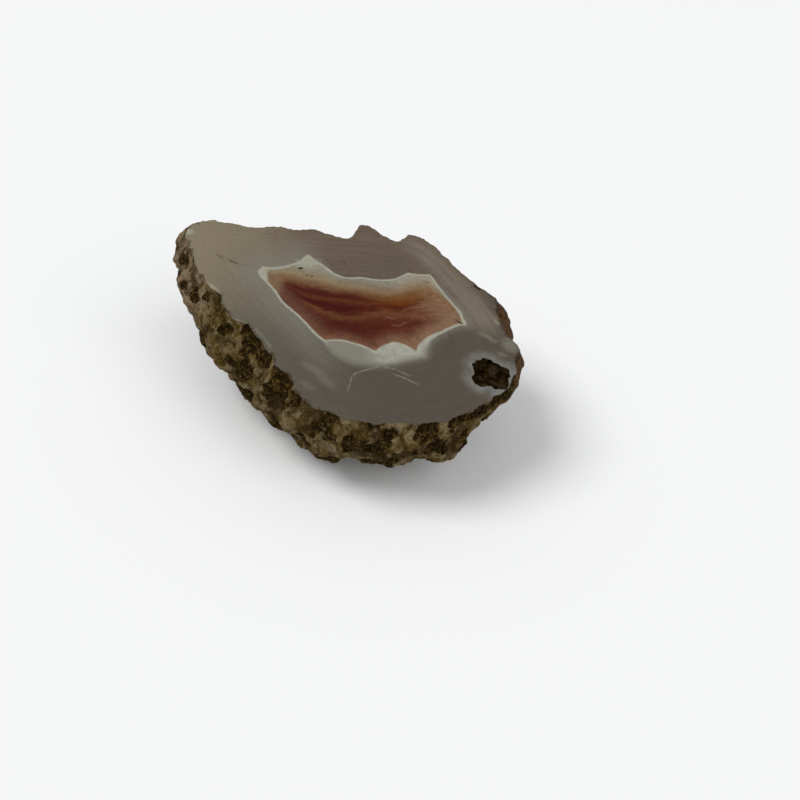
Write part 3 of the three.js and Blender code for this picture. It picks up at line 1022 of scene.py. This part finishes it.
def sawnFaceMaterial():
    material, tree, shader = newMaterial("sawn chalcedony")
    face = faceFields(tree)
    colour = wallColour(tree, face)
    colour = addShell(tree, face, colour)
    colour = addFilling(tree, face, colour)
    colour = addMarks(tree, face, colour, paleMarks, 1.25, 0.3, 2.6, faceLook["white"])
    colour = addMarks(tree, face, colour, specks, 1.2, 0.6, 1.8, faceLook["speck"])
    feed(tree, shader.inputs["Base Color"], addHaze(tree, face, colour))

    # satin from the saw and a light polish
    scratchPlace = placeInMm(tree, faceMiddle, faceLean, (6.0, 0.5, 1.0))
    scratches = noiseField(tree, scratchPlace, 2.4, 5, 0.7)
    feed(tree, shader.inputs["Roughness"], between(tree, scratches, 0.35, 0.75, *faceLook["roughness"]))
    fine = bumpOf(tree, scratches, 0.02 * mm, 0.35)
    dents = bumpOf(tree, noiseField(tree, face["place"], 0.8, 3, 0.5), 0.05 * mm, 0.35, fine)
    feed(tree, shader.inputs["Normal"], dents)
    shader.inputs["IOR"].default_value = 1.54
    shader.inputs["Specular IOR Level"].default_value = faceLook["sheen"]
    shader.inputs["Subsurface Weight"].default_value = 0.1
    shader.inputs["Subsurface Radius"].default_value = (1.0, 0.75, 0.5)
    shader.inputs["Subsurface Scale"].default_value = 0.5 * mm
    return material


rindLook = {
    "tip": (0.010, 0.005, 0.001),
    "umber": (0.050, 0.028, 0.006),
    "ochre": (0.160, 0.104, 0.027),
    "tan": (0.285, 0.208, 0.100),
    "pale": (0.450, 0.375, 0.250),
    "pinkish": (0.370, 0.270, 0.165),
    "rust": (0.120, 0.045, 0.012),
    "deepBrown": (0.062, 0.020, 0.003),
    "glossy": (0.145, 0.066, 0.014),
    "rosy": (0.195, 0.105, 0.036),
    "crystal": (0.100, 0.075, 0.040),
}


def rindMaterial():
    material, tree, shader = newMaterial("knobbly rind")
    place = placeInMm(tree)
    x, y = splitAxes(tree, place)[:2]
    under = splitAxes(tree, placeInMm(tree, faceMiddle, faceLean))[2]
    raised = attributeValue(tree, "raised")
    look = rindLook

    # earthy colours in clouds and crumbs, with painted shade that darkens them down in the hollows of the
    # relief
    clouds = between(tree, noiseField(tree, place, 0.40, 4, 0.6, 0.8), 0.34, 0.66)
    crumbs = between(tree, noiseField(tree, place, 1.1, 6, 0.75, 0.6), 0.36, 0.64)
    grains = between(tree, noiseField(tree, place, 2.4, 5, 0.8, 0.3), 0.38, 0.62)
    earth = plus(tree, times(tree, clouds, 0.42), times(tree, crumbs, 0.38), times(tree, grains, 0.20))
    colour = colourRamp(tree, earth, [
        (0.08, look["umber"]), (0.34, look["ochre"]), (0.60, look["tan"]), (0.92, look["pale"]),
    ])
    rusty = between(tree, noiseField(tree, place, 0.7, 4, 0.6, 0.4), 0.56, 0.66, 0.0, 0.6)
    colour = blendColours(tree, rusty, colour, look["rust"])

    # pinkish tan at the upper left, rusty brown and smoother at the right
    pinkShare = times(tree, between(tree, x, -17, -24), between(tree, y, 3, 12, 0.0, 0.90))
    pink = shaded(tree, look["pinkish"], between(tree, earth, 0.1, 0.9, 0.55, 1.30))
    colour = blendColours(tree, pinkShare, colour, pink)
    rightward = plus(tree, x, between(tree, y, -7, -14, 0.0, 2.6))
    rightShare = between(tree, calc(tree, "MULTIPLY_ADD", clouds, 2.4, rightward), 24.2, 26.8)
    marbled = plus(tree, times(tree, crumbs, 0.65), times(tree, grains, 0.35))
    brown = colourRamp(tree, marbled, [
        (0.16, look["deepBrown"]), (0.50, look["glossy"]), (0.84, look["rosy"]),
    ])
    colour = blendColours(tree, rightShare, colour, brown)
    # painted shade: the colour goes towards umber where the relief sinks in
    paintedGrooveShade = between(tree, calc(tree, "MULTIPLY_ADD", crumbs, 0.30, raised), -0.12, -0.50, 0.0, 0.85)
    colour = blendColours(tree, paintedGrooveShade, colour, look["umber"])

    # near black crusts made of grains, with ragged edges, and a dark line where the right end meets the face
    crust = plus(tree, attributeValue(tree, "crust"), swing(tree, grains, 0.40), swing(tree, crumbs, 0.90))
    dark = between(tree, crust, 0.33, 0.44)
    edgeLine = calc(tree, "MULTIPLY_ADD", crumbs, 0.45, under)
    edgeLine = times(tree, between(tree, edgeLine, -0.45, 0.0), rightShare)
    dark = calc(tree, "MAXIMUM", dark, edgeLine)
    bentPlace = tree.nodes.new("ShaderNodeVectorMath")
    bentPlace.operation = "ADD"
    tree.links.new(place, bentPlace.inputs[0])
    tree.links.new(joinAxes(tree, crumbs, grains, clouds), bentPlace.inputs[1])
    granules = cellField(tree, bentPlace.outputs["Vector"], 1.5)
    gaps = calc(tree, "MULTIPLY_ADD", grains, 0.45, granules)
    coal = colourRamp(tree, gaps, [(0.66, look["tip"]), (0.88, look["umber"]), (1.04, look["ochre"])])
    colour = blendColours(tree, times(tree, dark, 0.97), colour, coal)

    # the pocket is almost black inside
    pocket = attributeValue(tree, "pocket")
    inner = colourRamp(tree, earth, [(0.30, look["tip"]), (0.55, look["umber"]), (0.85, look["crystal"])])
    colour = blendColours(tree, pocket, colour, inner)
    feed(tree, shader.inputs["Base Color"], colour)

    dull = between(tree, crumbs, 0.0, 1.0, 0.65, 0.90)
    gloss = calc(tree, "SUBTRACT", dull, times(tree, rightShare, 0.25))
    feed(tree, shader.inputs["Roughness"], gloss)
    feed(tree, shader.inputs["Specular IOR Level"], between(tree, rightShare, 0, 1, 0.02, 0.07))
    fine = bumpOf(tree, grains, 0.12 * mm, 0.9)
    crumbly = bumpOf(tree, crumbs, 0.22 * mm, 0.9, fine)
    studded = times(tree, calc(tree, "SUBTRACT", 1.0, granules), dark)
    feed(tree, shader.inputs["Normal"], bumpOf(tree, studded, 0.30 * mm, 0.9, crumbly))
    shader.inputs["IOR"].default_value = 1.52
    return material


def dressStone(half):
    half.data.materials.append(sawnFaceMaterial())
    half.data.materials.append(rindMaterial())
    bm = bmesh.new()
    bm.from_mesh(half.data)
    for face in bm.faces:
        level = abs((face.calc_center_median() - faceMiddle).dot(faceUp))
        onFace = level < 0.002 * mm and face.normal.dot(faceUp) > levelEnough
        face.material_index = 0 if onFace else 1
        face.smooth = True
    for edge in bm.edges:
        kinds = {f.material_index for f in edge.link_faces}
        edge.smooth = len(kinds) == 1
    bm.to_mesh(half.data)
    bm.free()


half = shapeStone()
markFace(half)
dressStone(half)
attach(half, "root")
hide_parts("geode_half")
print("stone is dressed")

# floor, lights and background

studio = {
    "floorWidth": 4.0,
    "floorDrop": 0.02,      # mm under the foot
    "lampDistance": 0.4,
    "floorColour": (0.90, 0.90, 0.895, 1),
    "skyColour": (0.95, 0.97, 1.0, 1),
    "skyStrength": 0.42,
}

# soft lamps: name, the direction the light comes from, strength, and its angle across
lamps = [
    ["softWindow", (-0.62, 0.05, 0.78), 1.70, 30],
    ["frontFill", (0.40, -0.60, 0.70), 0.95, 60],
]


def addFloor():
    clearSelection()
    bpy.ops.mesh.primitive_plane_add(size=studio["floorWidth"], location=(0, 0, -studio["floorDrop"] * mm))
    floor = bpy.context.object
    floor.name = "paleFloor"
    material, tree, shader = newMaterial("pale floor")
    shader.inputs["Base Color"].default_value = studio["floorColour"]
    shader.inputs["Roughness"].default_value = 0.9
    shader.inputs["Specular IOR Level"].default_value = 0.1
    floor.data.materials.append(material)


def addLamps():
    for name, comesFrom, strength, across in lamps:
        bpy.ops.object.light_add(type="SUN", location=Vector(comesFrom) * studio["lampDistance"])
        lamp = bpy.context.object
        lamp.name = name
        lamp.data.energy = strength
        lamp.data.angle = math.radians(across)
        lamp.rotation_euler = Vector(comesFrom).to_track_quat("Z", "Y").to_euler()


def addSky():
    world = bpy.context.scene.world or bpy.data.worlds.new("sky")
    bpy.context.scene.world = world
    world.use_nodes = True
    background = world.node_tree.nodes["Background"]
    background.inputs["Color"].default_value = studio["skyColour"]
    background.inputs["Strength"].default_value = studio["skyStrength"]


addFloor()
addLamps()
addSky()
bpy.context.scene.view_settings.view_transform = "Standard"
print("floor, lights and background are set")
